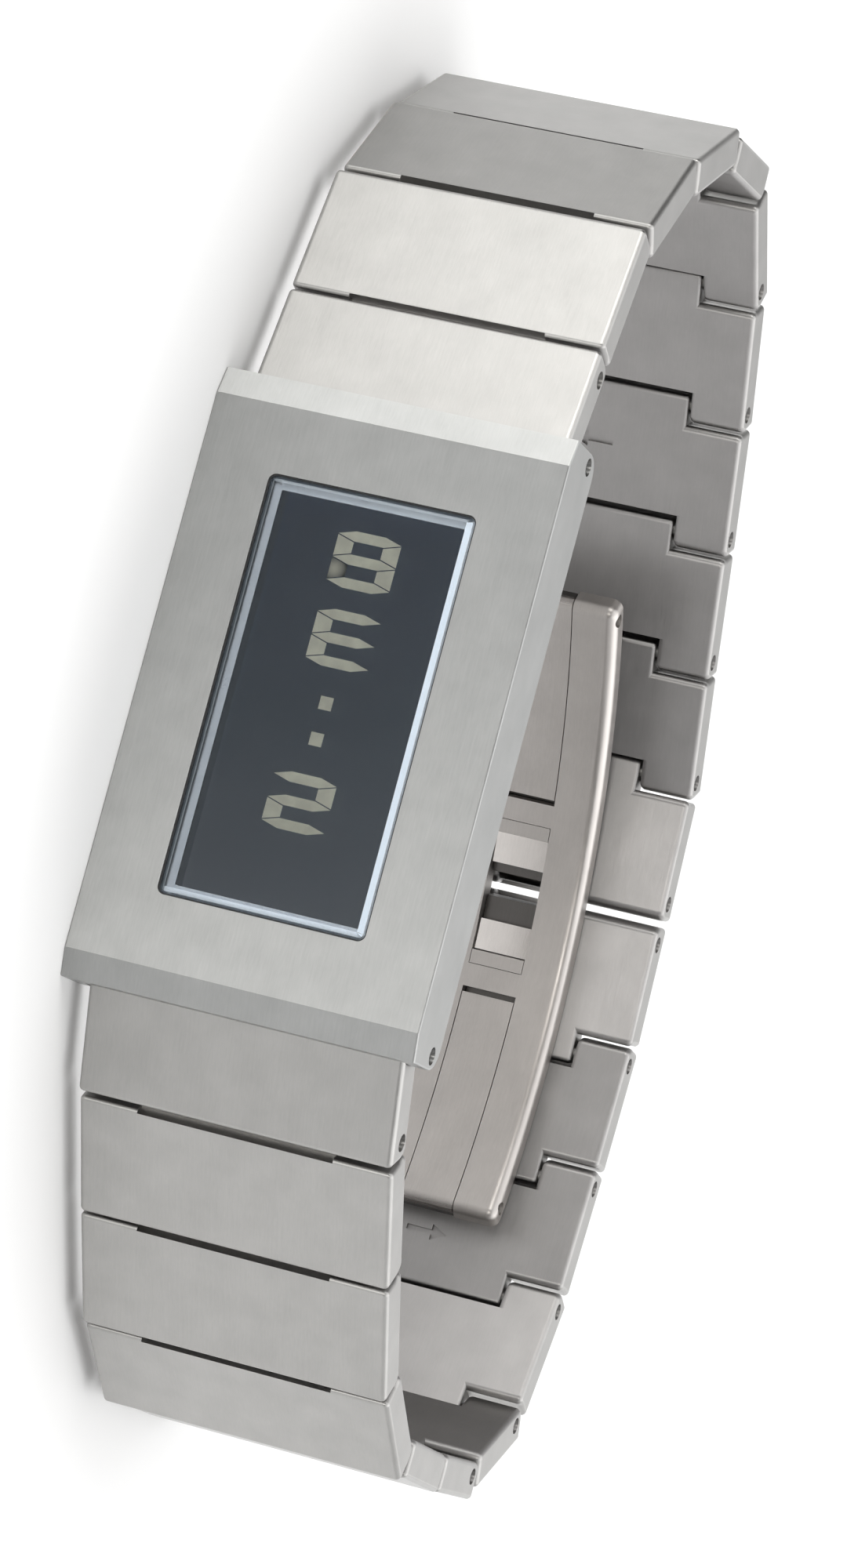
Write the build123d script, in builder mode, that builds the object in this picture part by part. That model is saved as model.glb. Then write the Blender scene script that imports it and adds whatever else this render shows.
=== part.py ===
# Digital watch on a solid-link steel bracelet, lying on the side of its case.
# X runs along the case, -Y is the way the display faces and Z is up, across the band.
# The origin is the centre of the case's lower side face. Lengths are in millimetres.
import os
from math import acos, asin, atan2, cos, degrees, hypot, radians, sin, sqrt

from build123d import *

os.makedirs("parts", exist_ok=True)

# Case block
case_width = 22.3
case_flat_length = 34.2
case_bevel_length = 1.7
case_bevel_depth = 0.62
case_thickness = 5.4
case_back_radius = 1.45
case_edge_radius = 0.12
case_pin_inset = 0.85
case_pin_depth = 3.9

# Crystal opening, in the top of the case
opening_side_border = 4.6
opening_end_border = 4.2
opening_radius = 0.5
opening_offset = 0.12
seat_depth = 0.9
top_wall = 1.3
crystal_gasket_wall = 0.1
crystal_thickness = 0.95
crystal_rise = 0.25
crystal_bevel = 0.4
surround_border = 0.74
window_radius = 0.12

# Hollow of the case and its back
end_wall = 3.0
side_wall = 2.55
cavity_radius = 1.0
back_end_border = 1.2
back_side_border = 1.65
back_radius = 1.6
back_thickness = 0.7
back_gasket_thickness = 0.2
back_fit = 0.05
back_screw_end_inset = 1.1
back_screw_side_inset = 2.1
back_screw_radius = 0.5
back_screw_head_radius = 0.78
back_screw_head_depth = 0.4
back_screw_length = 2.4
screw_slot_width = 0.25
screw_slot_depth = 0.2
screw_fit = 0.05

# Display and movement
lcd_end_gap = 0.6
lcd_side_gap = 1.3
lcd_flange_thickness = 0.7
lcd_fit = 0.06
segment_thickness = 0.03
digit_width = 3.95
digit_height = 3.45
digit_side_shift = 0.3
first_digit_offset = 9.05
second_digit_offset = 4.28
third_digit_offset = -5.65
upper_dot_offset = 0.42
lower_dot_offset = -1.77
dot_size = 0.8
segment_gap = 0.07
bar_thickness = 0.62
block_thickness = 1.05
module_clearance = 0.15
module_thickness = 2.3
module_wall = 1.2
zebra_width = 1.4
zebra_end_gap = 0.15
zebra_depth = 0.8
board_thickness = 0.5
board_margin = 1.0
chip_length = 6.0
chip_width = 6.0
chip_height = 0.8
chip_offset = 8.6
can_radius = 0.5
can_length = 4.2
battery_radius = 4.75
battery_height = 1.05
battery_offset = 5.2
clip_thickness = 0.15
clip_width = 3.0
board_screw_radius = 0.4
board_screw_head_radius = 0.75
board_screw_head_height = 0.3
board_screw_length = 1.2
board_screw_inset = 2.75
boss_size = 3.0

# Push buttons, in the lower side of the case
button_spacing = 16.0
button_radius = 1.1
button_head_length = 0.9
button_recess = 0.1
button_bore_depth = 1.5
button_stem_radius = 0.5
button_stem_reach = 0.3
button_pocket_radius = 0.75
button_pocket_depth = 1.2
button_fit = 0.05
seal_radius = 0.85
seal_length = 0.3
seal_inset = 0.4

# Bracelet links
link_count = 11
case_cheek = 1.15
link_pitch = 8.7
first_link_pitch = 5.8
last_link_pitch = 8.45
link_outer_half = 1.5
link_inner_half = 0.95
link_skin = 0.45
ear_reach = 1.2
plate_start = 1.36
cove_radius = 1.42
slot_cove_radius = 1.5
seam_width = 0.38
seam_depth = 0.25
first_nose = 1.1
first_link_fit = 0.15
ear_width = 3.9
tongue_nose = 0.75
tongue_corner = 0.34
tongue_side_gap = 0.15
link_edge_radius = 0.32
link_corner_radius = 0.42
link_crest_radius = 0.26
slot_edge_radius = 0.38
tongue_edge_radius = 0.22
pin_radius = 0.5
pin_fit = 0.05
pin_recess = 0.4
blind_wall = 1.0
blind_link_first = 2
blind_link_last = 5
closing_gap = 2.86

# Bends of the bracelet where it rests, in degrees, after the one at the case
upper_bends = (0.7, 27.5, 15.0, 26.2, 42.4, 18.5, 5.5, 1.5, -1.1, 20.8)
lower_bends = (13.9, 1.7, 17.3, 27.1, 3.0, 26.9, 41.3, 14.7, 2.9, 10.5)

# Arrows engraved on the inner faces of two links
arrow_length = 2.85
arrow_head_length = 1.1
arrow_head_width = 1.1
arrow_shaft_width = 0.35
arrow_depth = 0.2
upper_arrow_share = 0.4
lower_arrow_share = 0.34
upper_arrow_link = 8
lower_arrow_link = 9
upper_arrow_side = -0.12
lower_arrow_side = -0.14

# Folding clasp
clasp_tilt = 6.9
clasp_radius = 40.0
clasp_thickness = 1.5
clasp_width = 9.9
clasp_half_length = 22.3
clasp_clearance = 0.36
clasp_rim = 0.68
clasp_corner = 0.7
blade_width = 3.7
blade_fit = 0.06
blade_thickness = 1.2
blade_end_gap = 0.4
bar_inner_end = 5.2
bar_outer_end = 6.8
bar_depth = 0.62
tongue_strip_thickness = 0.75
tongue_strip_proud = 0.12
pad_start = 4.12
pad_end = 2.0
pad_recess = 0.35
catch_length = 0.95
catch_depth = 0.7
catch_fit = 0.04
clasp_hinge_inset = 1.15
clasp_pin_radius = 0.4
clasp_pin_recess = 0.3
clasp_pin_fit = 0.05
knuckle_radius = 0.9
cradle_gap = 0.12

overrun = 0.5

# Sizes and places worked out from the others
middle = case_width / 2
case_half = case_flat_length / 2 + case_bevel_length
pin_x = case_half - case_pin_inset
opening_width = case_width - 2 * opening_side_border
opening_length = case_flat_length - 2 * opening_end_border
cavity_length = case_flat_length - 2 * end_wall
cavity_width = case_width - 2 * side_wall
back_length = case_flat_length - 2 * back_end_border
back_width = case_width - 2 * back_side_border
back_screw_x = back_length / 2 - back_screw_end_inset
back_screw_z = back_width / 2 - back_screw_side_inset
lcd_flange_length = cavity_length - 2 * lcd_end_gap
lcd_flange_width = cavity_width - 2 * lcd_side_gap
board_screw_x = cavity_length / 2 - board_screw_inset
board_screw_z = cavity_width / 2 - board_screw_inset
zebra_length = 2 * board_screw_x - boss_size - 2 * zebra_end_gap
link_width = case_width - 2 * case_cheek
tongue_width = link_width - 2 * ear_width
pin_y = case_pin_depth - case_thickness / 2
tongue_slot_width = tongue_width + 2 * tongue_side_gap
blade_slot_width = blade_width + 2 * blade_fit
written = []


def chain(start, heading, turn, bends):
    # Pins of one half of the bracelet, from the case outwards, and each link's heading
    pins = [start]
    headings = []
    for number in range(link_count):
        if number:
            heading = heading + turn * bends[number - 1]
        pitch = link_pitch
        if number == 0:
            pitch = first_link_pitch
        if number == link_count - 1:
            pitch = last_link_pitch
        x, y = pins[-1]
        pins.append((x + pitch * cos(radians(heading)), y + pitch * sin(radians(heading))))
        headings.append(heading)
    return pins, headings


def closed_ring():
    # Each half turns about its case pin until the two ends stand the closing gap apart
    upper_start = (-pin_x, pin_y)
    lower_start = (pin_x, pin_y)
    upper_trial, upper_first = chain(upper_start, 0, -1, upper_bends)
    lower_trial, lower_first = chain(lower_start, 0, 1, lower_bends)
    upper_chord = (upper_trial[-1][0] - upper_start[0], upper_trial[-1][1] - upper_start[1])
    lower_chord = (lower_trial[-1][0] - lower_start[0], lower_trial[-1][1] - lower_start[1])
    upper_reach = hypot(*upper_chord)
    lower_reach = hypot(*lower_chord)
    base = 2 * pin_x - closing_gap
    upper_angle = acos((base**2 + upper_reach**2 - lower_reach**2) / (2 * base * upper_reach))
    lower_angle = acos((base**2 + lower_reach**2 - upper_reach**2) / (2 * base * lower_reach))
    upper_heading = degrees(upper_angle) - degrees(atan2(upper_chord[1], upper_chord[0]))
    lower_heading = 180 - degrees(lower_angle) - degrees(atan2(lower_chord[1], lower_chord[0]))
    upper = chain(upper_start, upper_heading, -1, upper_bends)
    lower = chain(lower_start, lower_heading, 1, lower_bends)
    return upper, lower


def keep(part, label):
    part.label = label
    export_step(part, "parts/" + label + ".step")
    written.append(label)


def depth_plane(depth):
    # Plane parallel to the case's top face, that far under it, with its normal into the case
    return Plane(origin=(0, depth - case_thickness / 2, middle), x_dir=(1, 0, 0), z_dir=(0, 1, 0))


def flat_plane(point, heading, side):
    # Plane across a link: x along the link, y outwards from the wrist, origin at its first pin
    direction = (cos(radians(heading)), sin(radians(heading)), 0)
    return Plane(origin=(point[0], point[1], middle), x_dir=direction, z_dir=(0, 0, side))


def cove_point(radius, height):
    return sqrt(radius**2 - height**2)


def plate_profile(pitch):
    # Side view of a link's body, ears and outer skin
    shoulder = cove_point(cove_radius, link_inner_half)
    ear = cove_point(ear_reach, link_inner_half)
    with BuildLine() as outline:
        CenterArc((0, 0), cove_radius, 0, -degrees(atan2(link_inner_half, shoulder)))
        Line((cove_radius, 0), (plate_start, link_outer_half))
        Line((plate_start, link_outer_half), (pitch + ear_reach, link_outer_half))
        Line((pitch + ear_reach, link_outer_half), (pitch + ear_reach, 0))
        CenterArc((pitch, 0), ear_reach, 0, -degrees(atan2(link_inner_half, ear)))
        Line((pitch + ear, -link_inner_half), (shoulder, -link_inner_half))
    make_face(outline.edges())


def first_profile(pitch):
    # Side view of a first link: round over the case's pin, square behind it
    side = sqrt(link_outer_half**2 - first_nose**2)
    ear = cove_point(ear_reach, link_inner_half)
    with BuildLine() as outline:
        CenterArc((0, 0), link_outer_half, 90, degrees(asin(first_nose / link_outer_half)))
        Line((-first_nose, side), (-first_nose, -link_inner_half))
        Line((-first_nose, -link_inner_half), (pitch + ear, -link_inner_half))
        CenterArc((pitch, 0), ear_reach, 0, -degrees(atan2(link_inner_half, ear)))
        Line((pitch + ear_reach, 0), (pitch + ear_reach, link_outer_half))
        Line((pitch + ear_reach, link_outer_half), (0, link_outer_half))
    make_face(outline.edges())


def end_profile():
    # Side view of the recess in the case's end, under its lip, with the pin at the origin
    reach = link_outer_half + first_link_fit
    foot = cove_point(reach, link_inner_half)
    end = case_half - pin_x + overrun
    with BuildLine() as outline:
        CenterArc((0, 0), reach, 90, 90 + degrees(atan2(link_inner_half, foot)))
        Line((-foot, -link_inner_half), (-foot, -case_thickness))
        Line((-foot, -case_thickness), (end, -case_thickness))
        Line((end, -case_thickness), (end, reach))
        Line((end, reach), (0, reach))
    make_face(outline.edges())


def tongue_profile():
    # Side view of the tongue: round over the pin outside, square with a soft corner inside
    root = plate_start + link_inner_half
    with BuildLine() as outline:
        CenterArc((0, 0), link_inner_half, 90, degrees(asin(tongue_nose / link_inner_half)))
        side = sqrt(link_inner_half**2 - tongue_nose**2)
        Line((-tongue_nose, side), (-tongue_nose, -link_inner_half + tongue_corner))
        CenterArc((tongue_corner - tongue_nose, tongue_corner - link_inner_half), tongue_corner, 180, 90)
        Line((tongue_corner - tongue_nose, -link_inner_half), (root, -link_inner_half))
        Line((root, -link_inner_half), (root, link_inner_half))
        Line((root, link_inner_half), (0, link_inner_half))
    make_face(outline.edges())


def slot_profile(pitch, floor, end):
    # Side view of the slot that takes the next tongue, closed outside by the skin
    roof = link_outer_half - link_skin
    back = cove_point(slot_cove_radius, roof)
    foot = cove_point(slot_cove_radius, link_inner_half)
    start_angle = degrees(atan2(roof, -back))
    sweep_angle = degrees(atan2(roof, back)) + degrees(atan2(link_inner_half, foot))
    with BuildLine() as outline:
        CenterArc((pitch, 0), slot_cove_radius, start_angle, sweep_angle)
        Line((pitch - foot, -link_inner_half), (pitch - foot, -floor))
        Line((pitch - foot, -floor), (end, -floor))
        Line((end, -floor), (end, roof))
        Line((end, roof), (pitch - back, roof))
    make_face(outline.edges())


def arrow_outline():
    half = arrow_length / 2
    neck = half - arrow_head_length
    with BuildLine() as outline:
        Polyline(
            (half, 0),
            (neck, arrow_head_width / 2),
            (neck, arrow_shaft_width / 2),
            (-half, arrow_shaft_width / 2),
            (-half, -arrow_shaft_width / 2),
            (neck, -arrow_shaft_width / 2),
            (neck, -arrow_head_width / 2),
            (half, 0),
        )
    make_face(outline.edges())


def slot_edges(part, plane, width, pitch):
    # Edges of the slot's side walls that open on the wrist side and at the link's end
    found = []
    for face in part.faces().filter_by(Axis.Z):
        if abs(face.center().Z - middle) < (width + link_width) / 4:
            for edge in face.edges():
                spot = plane.to_local_coords(edge.center())
                if pitch - link_inner_half < spot.X and spot.Y < link_inner_half:
                    found.append(edge)
    return found


def make_link(label, number, start, heading, side):
    pitch = link_pitch
    slot_width = tongue_slot_width
    if number == 1:
        pitch = first_link_pitch
    if number == link_count:
        pitch = last_link_pitch
        slot_width = blade_slot_width
    plane = flat_plane(start, heading, side)
    with BuildPart() as link:
        if number > 1:
            with BuildSketch(plane):
                tongue_profile()
            extrude(amount=tongue_width / 2, both=True)
            fillet(link.faces().filter_by(Axis.Z).edges(), radius=tongue_edge_radius)
        with BuildSketch(plane) as side_view:
            if number == 1:
                first_profile(pitch)
                fillet(side_view.vertices().sort_by_distance((pitch, 2 * pitch))[0], radius=link_crest_radius)
            else:
                plate_profile(pitch)
                fillet(side_view.vertices().group_by(Axis.Y)[-1], radius=link_crest_radius)
            fillet(side_view.vertices().group_by(Axis.Y)[0], radius=link_corner_radius)
        extrude(amount=link_width / 2, both=True)
        side_faces = link.faces().filter_by(Axis.Z).sort_by(Axis.Z)
        fillet(side_faces[0].edges() + side_faces[-1].edges(), radius=link_edge_radius)
        if number > 1:
            # A groove behind the slot's mouth keeps the seam open in the middle of the band
            with BuildSketch(plane):
                with Locations((ear_reach + seam_width / 2, link_inner_half - seam_depth)):
                    Rectangle(seam_width, link_outer_half, align=(Align.CENTER, Align.MIN))
            extrude(amount=tongue_slot_width / 2, both=True, mode=Mode.SUBTRACT)
        with BuildSketch(plane):
            slot_profile(pitch, link_inner_half + overrun, pitch + ear_reach + overrun)
        extrude(amount=slot_width / 2, both=True, mode=Mode.SUBTRACT)
        fillet(slot_edges(link, plane, slot_width, pitch), radius=slot_edge_radius)
        with BuildSketch(plane):
            Circle(pin_radius + pin_fit)
        extrude(amount=link_width / 2, both=True, mode=Mode.SUBTRACT)
        far_end = plane.from_local_coords(Vector(pitch, 0, 0))
        blind = blind_link_first <= number <= blind_link_last
        reach = link_width / 2 + overrun
        if blind:
            reach = link_width / 2 - blind_wall
        low_plane = Plane(origin=(far_end.X, far_end.Y, middle - link_width / 2 - overrun))
        with BuildSketch(low_plane):
            Circle(pin_radius + pin_fit)
        extrude(amount=link_width / 2 + overrun + reach, mode=Mode.SUBTRACT)
        arrow_link = upper_arrow_link
        arrow_side = upper_arrow_side
        arrow_share = upper_arrow_share
        if side < 0:
            arrow_link = lower_arrow_link
            arrow_side = lower_arrow_side
            arrow_share = lower_arrow_share
        if number == arrow_link:
            face_point = plane.from_local_coords(Vector(pitch * arrow_share, -link_inner_half, 0))
            outward = plane.y_dir
            spot = Plane(
                origin=(face_point.X, face_point.Y, middle + arrow_side),
                x_dir=(0, 0, -side),
                z_dir=(-outward.X, -outward.Y, 0),
            )
            with BuildSketch(spot):
                arrow_outline()
            extrude(amount=-arrow_depth, mode=Mode.SUBTRACT)
    keep(link.part, label)


def make_link_pins(label, places, blinds, reaches):
    # Two steel pins, one at each end of the link that carries them
    with BuildPart() as pins:
        for place, blind, reach in zip(places, blinds, reaches):
            low = middle - reach + pin_recess
            high = middle + reach - pin_recess
            if blind:
                high = middle + reach - blind_wall - pin_recess
            with BuildSketch(Plane(origin=(place[0], place[1], low))):
                Circle(pin_radius)
            extrude(amount=high - low)
    keep(pins.part, label)


# Case body: a machined steel block with bevelled ends, hollow from the back
with BuildPart() as case_body:
    with BuildSketch(Plane(origin=(0, -case_thickness / 2, middle))):
        with BuildLine() as outline:
            Polyline(
                (-case_half, case_thickness),
                (-case_half, case_bevel_depth),
                (-case_flat_length / 2, 0),
                (case_flat_length / 2, 0),
                (case_half, case_bevel_depth),
                (case_half, case_thickness),
                (-case_half, case_thickness),
            )
        make_face(outline.edges())
    extrude(amount=case_width / 2, both=True)
    back_corners = case_body.edges().filter_by(Axis.Z).group_by(Axis.Y)[-1]
    fillet(back_corners, radius=case_back_radius)
    fillet(case_body.faces().filter_by(Axis.Z).edges(), radius=case_edge_radius)
    with BuildSketch(depth_plane(0)):
        with Locations((-opening_offset, 0)):
            RectangleRounded(opening_length, opening_width, opening_radius)
    extrude(amount=seat_depth, mode=Mode.SUBTRACT)
    with BuildSketch(depth_plane(seat_depth)):
        with Locations((-opening_offset, 0)):
            RectangleRounded(
                opening_length - 2 * surround_border,
                opening_width - 2 * surround_border,
                window_radius,
            )
    extrude(amount=top_wall, mode=Mode.SUBTRACT)
    with BuildSketch(depth_plane(top_wall)):
        RectangleRounded(cavity_length, cavity_width, cavity_radius)
    extrude(amount=case_thickness, mode=Mode.SUBTRACT)
    back_seat = case_thickness - back_thickness - back_gasket_thickness
    with BuildSketch(depth_plane(back_seat)):
        RectangleRounded(back_length, back_width, back_radius)
    extrude(amount=case_thickness, mode=Mode.SUBTRACT)
    with BuildSketch(depth_plane(back_seat)):
        with GridLocations(2 * back_screw_x, 2 * back_screw_z, 2, 2):
            Circle(back_screw_radius + screw_fit)
    extrude(amount=-back_screw_length, mode=Mode.SUBTRACT)
    # The first links enter a recess under a lip at each end
    for side in (-1, 1):
        heading = 90 - side * 90
        with BuildSketch(flat_plane((side * pin_x, pin_y), heading, -side)):
            end_profile()
        extrude(amount=link_width / 2 + first_link_fit, both=True, mode=Mode.SUBTRACT)
        with BuildSketch(Plane(origin=(side * pin_x, pin_y, middle))):
            Circle(pin_radius + pin_fit)
        extrude(amount=case_width / 2 + overrun, both=True, mode=Mode.SUBTRACT)
    # Stepped bores of the two push buttons, with a groove for each seal
    with BuildSketch(Plane.XY):
        with GridLocations(button_spacing, overrun, 2, 1):
            Circle(button_radius + button_fit)
    extrude(amount=button_bore_depth, mode=Mode.SUBTRACT)
    with BuildSketch(Plane.XY):
        with GridLocations(button_spacing, overrun, 2, 1):
            Circle(button_stem_radius + button_fit)
    extrude(amount=(case_width - cavity_width) / 2 + overrun, mode=Mode.SUBTRACT)
    with BuildSketch(Plane.XY.offset(button_bore_depth + seal_inset)):
        with GridLocations(button_spacing, overrun, 2, 1):
            Circle(seal_radius)
    extrude(amount=seal_length, mode=Mode.SUBTRACT)
keep(case_body.part, "case_body")

# Crystal: ground mineral glass with polished bevels that stand just proud, in a thin dark gasket
crystal_length = opening_length - 2 * crystal_gasket_wall
crystal_width = opening_width - 2 * crystal_gasket_wall
crystal_back = crystal_thickness - crystal_rise
with BuildPart() as crystal:
    with BuildSketch(depth_plane(-crystal_rise)):
        with Locations((-opening_offset, 0)):
            RectangleRounded(crystal_length, crystal_width, opening_radius - crystal_gasket_wall)
    extrude(amount=crystal_thickness)
    chamfer(crystal.faces().sort_by(Axis.Y)[0].edges(), length=crystal_bevel)
keep(crystal.part, "crystal")

with BuildPart() as crystal_gasket:
    with BuildSketch(depth_plane(crystal_bevel - crystal_rise)):
        with Locations((-opening_offset, 0)):
            RectangleRounded(opening_length, opening_width, opening_radius)
            RectangleRounded(
                crystal_length,
                crystal_width,
                opening_radius - crystal_gasket_wall,
                mode=Mode.SUBTRACT,
            )
    extrude(amount=crystal_thickness - crystal_bevel)
keep(crystal_gasket.part, "crystal_gasket")

# Bright plated surround between the crystal and its seat
with BuildPart() as display_surround:
    with BuildSketch(depth_plane(crystal_back)):
        with Locations((-opening_offset, 0)):
            RectangleRounded(
                crystal_length,
                crystal_width,
                opening_radius - crystal_gasket_wall,
            )
            RectangleRounded(
                opening_length - 2 * surround_border - lcd_fit,
                opening_width - 2 * surround_border - lcd_fit,
                window_radius - lcd_fit / 2,
                mode=Mode.SUBTRACT,
            )
    extrude(amount=seat_depth - crystal_back)
keep(display_surround.part, "display_surround")

# Liquid crystal panel: a window that fills the opening and a wider glass behind it
lcd_front = crystal_back + segment_thickness
with BuildPart() as lcd_panel:
    with BuildSketch(depth_plane(lcd_front)):
        with Locations((-opening_offset, 0)):
            RectangleRounded(
                opening_length - 2 * surround_border - 2 * lcd_fit,
                opening_width - 2 * surround_border - 2 * lcd_fit,
                window_radius - lcd_fit,
            )
    extrude(amount=top_wall - lcd_front)
    with BuildSketch(depth_plane(top_wall)):
        Rectangle(lcd_flange_length, lcd_flange_width)
    extrude(amount=lcd_flange_thickness)
keep(lcd_panel.part, "lcd_panel")


def bar(centre_x, centre_z, length):
    # One long segment across the display, tapered to a point at both ends
    half = length / 2
    shoulder = half - block_thickness
    thick = bar_thickness / 2
    with BuildLine() as outline:
        Polyline(
            (centre_x, centre_z - half),
            (centre_x + thick, centre_z - shoulder),
            (centre_x + thick, centre_z + shoulder),
            (centre_x, centre_z + half),
            (centre_x - thick, centre_z + shoulder),
            (centre_x - thick, centre_z - shoulder),
            (centre_x, centre_z - half),
        )
    make_face(outline.edges())


def block(near_x, far_x, edge_z, inward):
    # One short segment along the case, at one side of a digit, between the tapers of two long ones
    slant = bar_thickness / 2
    with BuildLine() as outline:
        Polyline(
            (near_x, edge_z),
            (far_x, edge_z),
            (far_x - slant, edge_z + inward * block_thickness),
            (near_x + slant, edge_z + inward * block_thickness),
            (near_x, edge_z),
        )
    make_face(outline.edges())


def digit(offset, parts):
    # Seven segments about one centre; the top of the digit lies towards -X
    centre_x = -offset
    centre_z = -digit_side_shift
    half = digit_height / 2 - bar_thickness / 2
    side = digit_width / 2
    if "top" in parts:
        bar(centre_x - half, centre_z, digit_width)
    if "middle" in parts:
        bar(centre_x, centre_z, digit_width)
    if "bottom" in parts:
        bar(centre_x + half, centre_z, digit_width)
    for name, begin, end, edge in (
        ("upper_left", centre_x - half, centre_x, 1),
        ("upper_right", centre_x - half, centre_x, -1),
        ("lower_left", centre_x, centre_x + half, 1),
        ("lower_right", centre_x, centre_x + half, -1),
    ):
        if name in parts:
            block(begin + segment_gap, end - segment_gap, centre_z + edge * side, -edge)


# Segments that show: two digits, a colon and one more digit
eight = ("top", "middle", "bottom", "upper_left", "upper_right", "lower_left", "lower_right")
letter = ("top", "middle", "bottom", "upper_left", "lower_left")
two = ("top", "middle", "bottom", "upper_right", "lower_left")
with BuildPart() as lcd_segments:
    with BuildSketch(depth_plane(lcd_front - segment_thickness)):
        digit(first_digit_offset, eight)
        digit(second_digit_offset, letter)
        digit(third_digit_offset, two)
        for dot in (upper_dot_offset, lower_dot_offset):
            with Locations((-dot, -digit_side_shift)):
                Rectangle(dot_size, dot_size)
    extrude(amount=segment_thickness)
keep(lcd_segments.part, "lcd_segments")

# Moulded frame that holds the movement behind the panel
module_top = top_wall + lcd_flange_thickness
module_length = cavity_length - 2 * module_clearance
module_width = cavity_width - 2 * module_clearance
board_top = module_top + zebra_depth
with BuildPart() as module_frame:
    with BuildSketch(depth_plane(top_wall)):
        RectangleRounded(module_length, module_width, cavity_radius)
    extrude(amount=module_thickness)
    with BuildSketch(depth_plane(top_wall)):
        Rectangle(lcd_flange_length + lcd_fit, lcd_flange_width + lcd_fit)
    extrude(amount=lcd_flange_thickness, mode=Mode.SUBTRACT)
    with BuildSketch(depth_plane(module_top)):
        Rectangle(module_length - 2 * module_wall, module_width - 2 * module_wall)
    extrude(amount=module_thickness, mode=Mode.SUBTRACT)
    with BuildSketch(depth_plane(module_top)):
        with GridLocations(2 * board_screw_x, 2 * board_screw_z, 2, 2):
            Rectangle(boss_size, boss_size)
            Circle(board_screw_radius + screw_fit, mode=Mode.SUBTRACT)
    extrude(amount=zebra_depth)
    pocket_start = (case_width - cavity_width) / 2
    with BuildSketch(Plane.XY.offset(pocket_start)):
        with GridLocations(button_spacing, overrun, 2, 1):
            Circle(button_pocket_radius)
    extrude(amount=button_pocket_depth, mode=Mode.SUBTRACT)
keep(module_frame.part, "module_frame")

# Conducting rubber strips between the panel and the board
with BuildPart() as zebra_strips:
    with BuildSketch(depth_plane(module_top)):
        with GridLocations(overrun, lcd_flange_width - 5 * zebra_width, 1, 2):
            Rectangle(zebra_length, zebra_width)
    extrude(amount=zebra_depth)
keep(zebra_strips.part, "zebra_strips")

board_length = module_length - 2 * module_wall - board_margin
board_width = module_width - 2 * module_wall - board_margin
with BuildPart() as circuit_board:
    with BuildSketch(depth_plane(board_top)):
        Rectangle(board_length, board_width)
        with GridLocations(2 * board_screw_x, 2 * board_screw_z, 2, 2):
            Circle(board_screw_radius + screw_fit, mode=Mode.SUBTRACT)
    extrude(amount=board_thickness)
keep(circuit_board.part, "circuit_board")

with BuildPart() as chip_cover:
    with BuildSketch(depth_plane(board_top + board_thickness)):
        with Locations((chip_offset, 0)):
            Rectangle(chip_length, chip_width)
    extrude(amount=chip_height)
    fillet(chip_cover.faces().sort_by(Axis.Y)[-1].edges(), radius=case_edge_radius)
keep(chip_cover.part, "chip_cover")

can_plane = Plane(
    origin=(
        chip_offset - chip_length / 2 - can_length,
        board_top + board_thickness + can_radius - case_thickness / 2,
        middle + board_width / 2 - 2 * can_radius,
    ),
    x_dir=(0, 0, 1),
    z_dir=(1, 0, 0),
)
with BuildPart() as quartz_can:
    with BuildSketch(can_plane):
        Circle(can_radius)
    extrude(amount=can_length)
keep(quartz_can.part, "quartz_can")

# Coin cell, and the spring clip over it
battery_top = board_top + board_thickness
with BuildPart() as battery:
    with BuildSketch(depth_plane(battery_top)):
        with Locations((-battery_offset, 0)):
            Circle(battery_radius)
    extrude(amount=battery_height)
    fillet(battery.edges().filter_by(GeomType.CIRCLE), radius=case_edge_radius)
keep(battery.part, "battery")

with BuildPart() as battery_clip:
    with BuildSketch(depth_plane(battery_top + battery_height)):
        with Locations((-battery_offset, 0)):
            Rectangle(clip_width, 2 * (battery_radius + 2 * clip_thickness))
    extrude(amount=clip_thickness)
    with BuildSketch(depth_plane(battery_top)):
        with Locations((-battery_offset, 0)):
            with GridLocations(overrun, 2 * battery_radius + 3 * clip_thickness, 1, 2):
                Rectangle(clip_width, clip_thickness)
    extrude(amount=battery_height)
keep(battery_clip.part, "battery_clip")

with BuildPart() as board_screws:
    with BuildSketch(depth_plane(board_top + board_thickness)):
        with GridLocations(2 * board_screw_x, 2 * board_screw_z, 2, 2):
            Circle(board_screw_head_radius)
    extrude(amount=board_screw_head_height)
    with BuildSketch(depth_plane(board_top + board_thickness)):
        with GridLocations(2 * board_screw_x, 2 * board_screw_z, 2, 2):
            Circle(board_screw_radius)
    extrude(amount=-board_screw_length)
keep(board_screws.part, "board_screws")

# Case back, its gasket and its four screws
with BuildPart() as case_back_gasket:
    with BuildSketch(depth_plane(back_seat)):
        RectangleRounded(back_length - 2 * back_fit, back_width - 2 * back_fit, back_radius)
        RectangleRounded(cavity_length, cavity_width, cavity_radius, mode=Mode.SUBTRACT)
        with GridLocations(2 * back_screw_x, 2 * back_screw_z, 2, 2):
            Circle(back_screw_radius + screw_fit, mode=Mode.SUBTRACT)
    extrude(amount=back_gasket_thickness)
keep(case_back_gasket.part, "case_back_gasket")

with BuildPart() as case_back:
    with BuildSketch(depth_plane(case_thickness - back_thickness)):
        RectangleRounded(back_length - 2 * back_fit, back_width - 2 * back_fit, back_radius)
        with GridLocations(2 * back_screw_x, 2 * back_screw_z, 2, 2):
            Circle(back_screw_radius + screw_fit, mode=Mode.SUBTRACT)
    extrude(amount=back_thickness)
    with BuildSketch(depth_plane(case_thickness - back_screw_head_depth)):
        with GridLocations(2 * back_screw_x, 2 * back_screw_z, 2, 2):
            Circle(back_screw_head_radius + screw_fit)
    extrude(amount=case_thickness, mode=Mode.SUBTRACT)
keep(case_back.part, "case_back")

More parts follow.
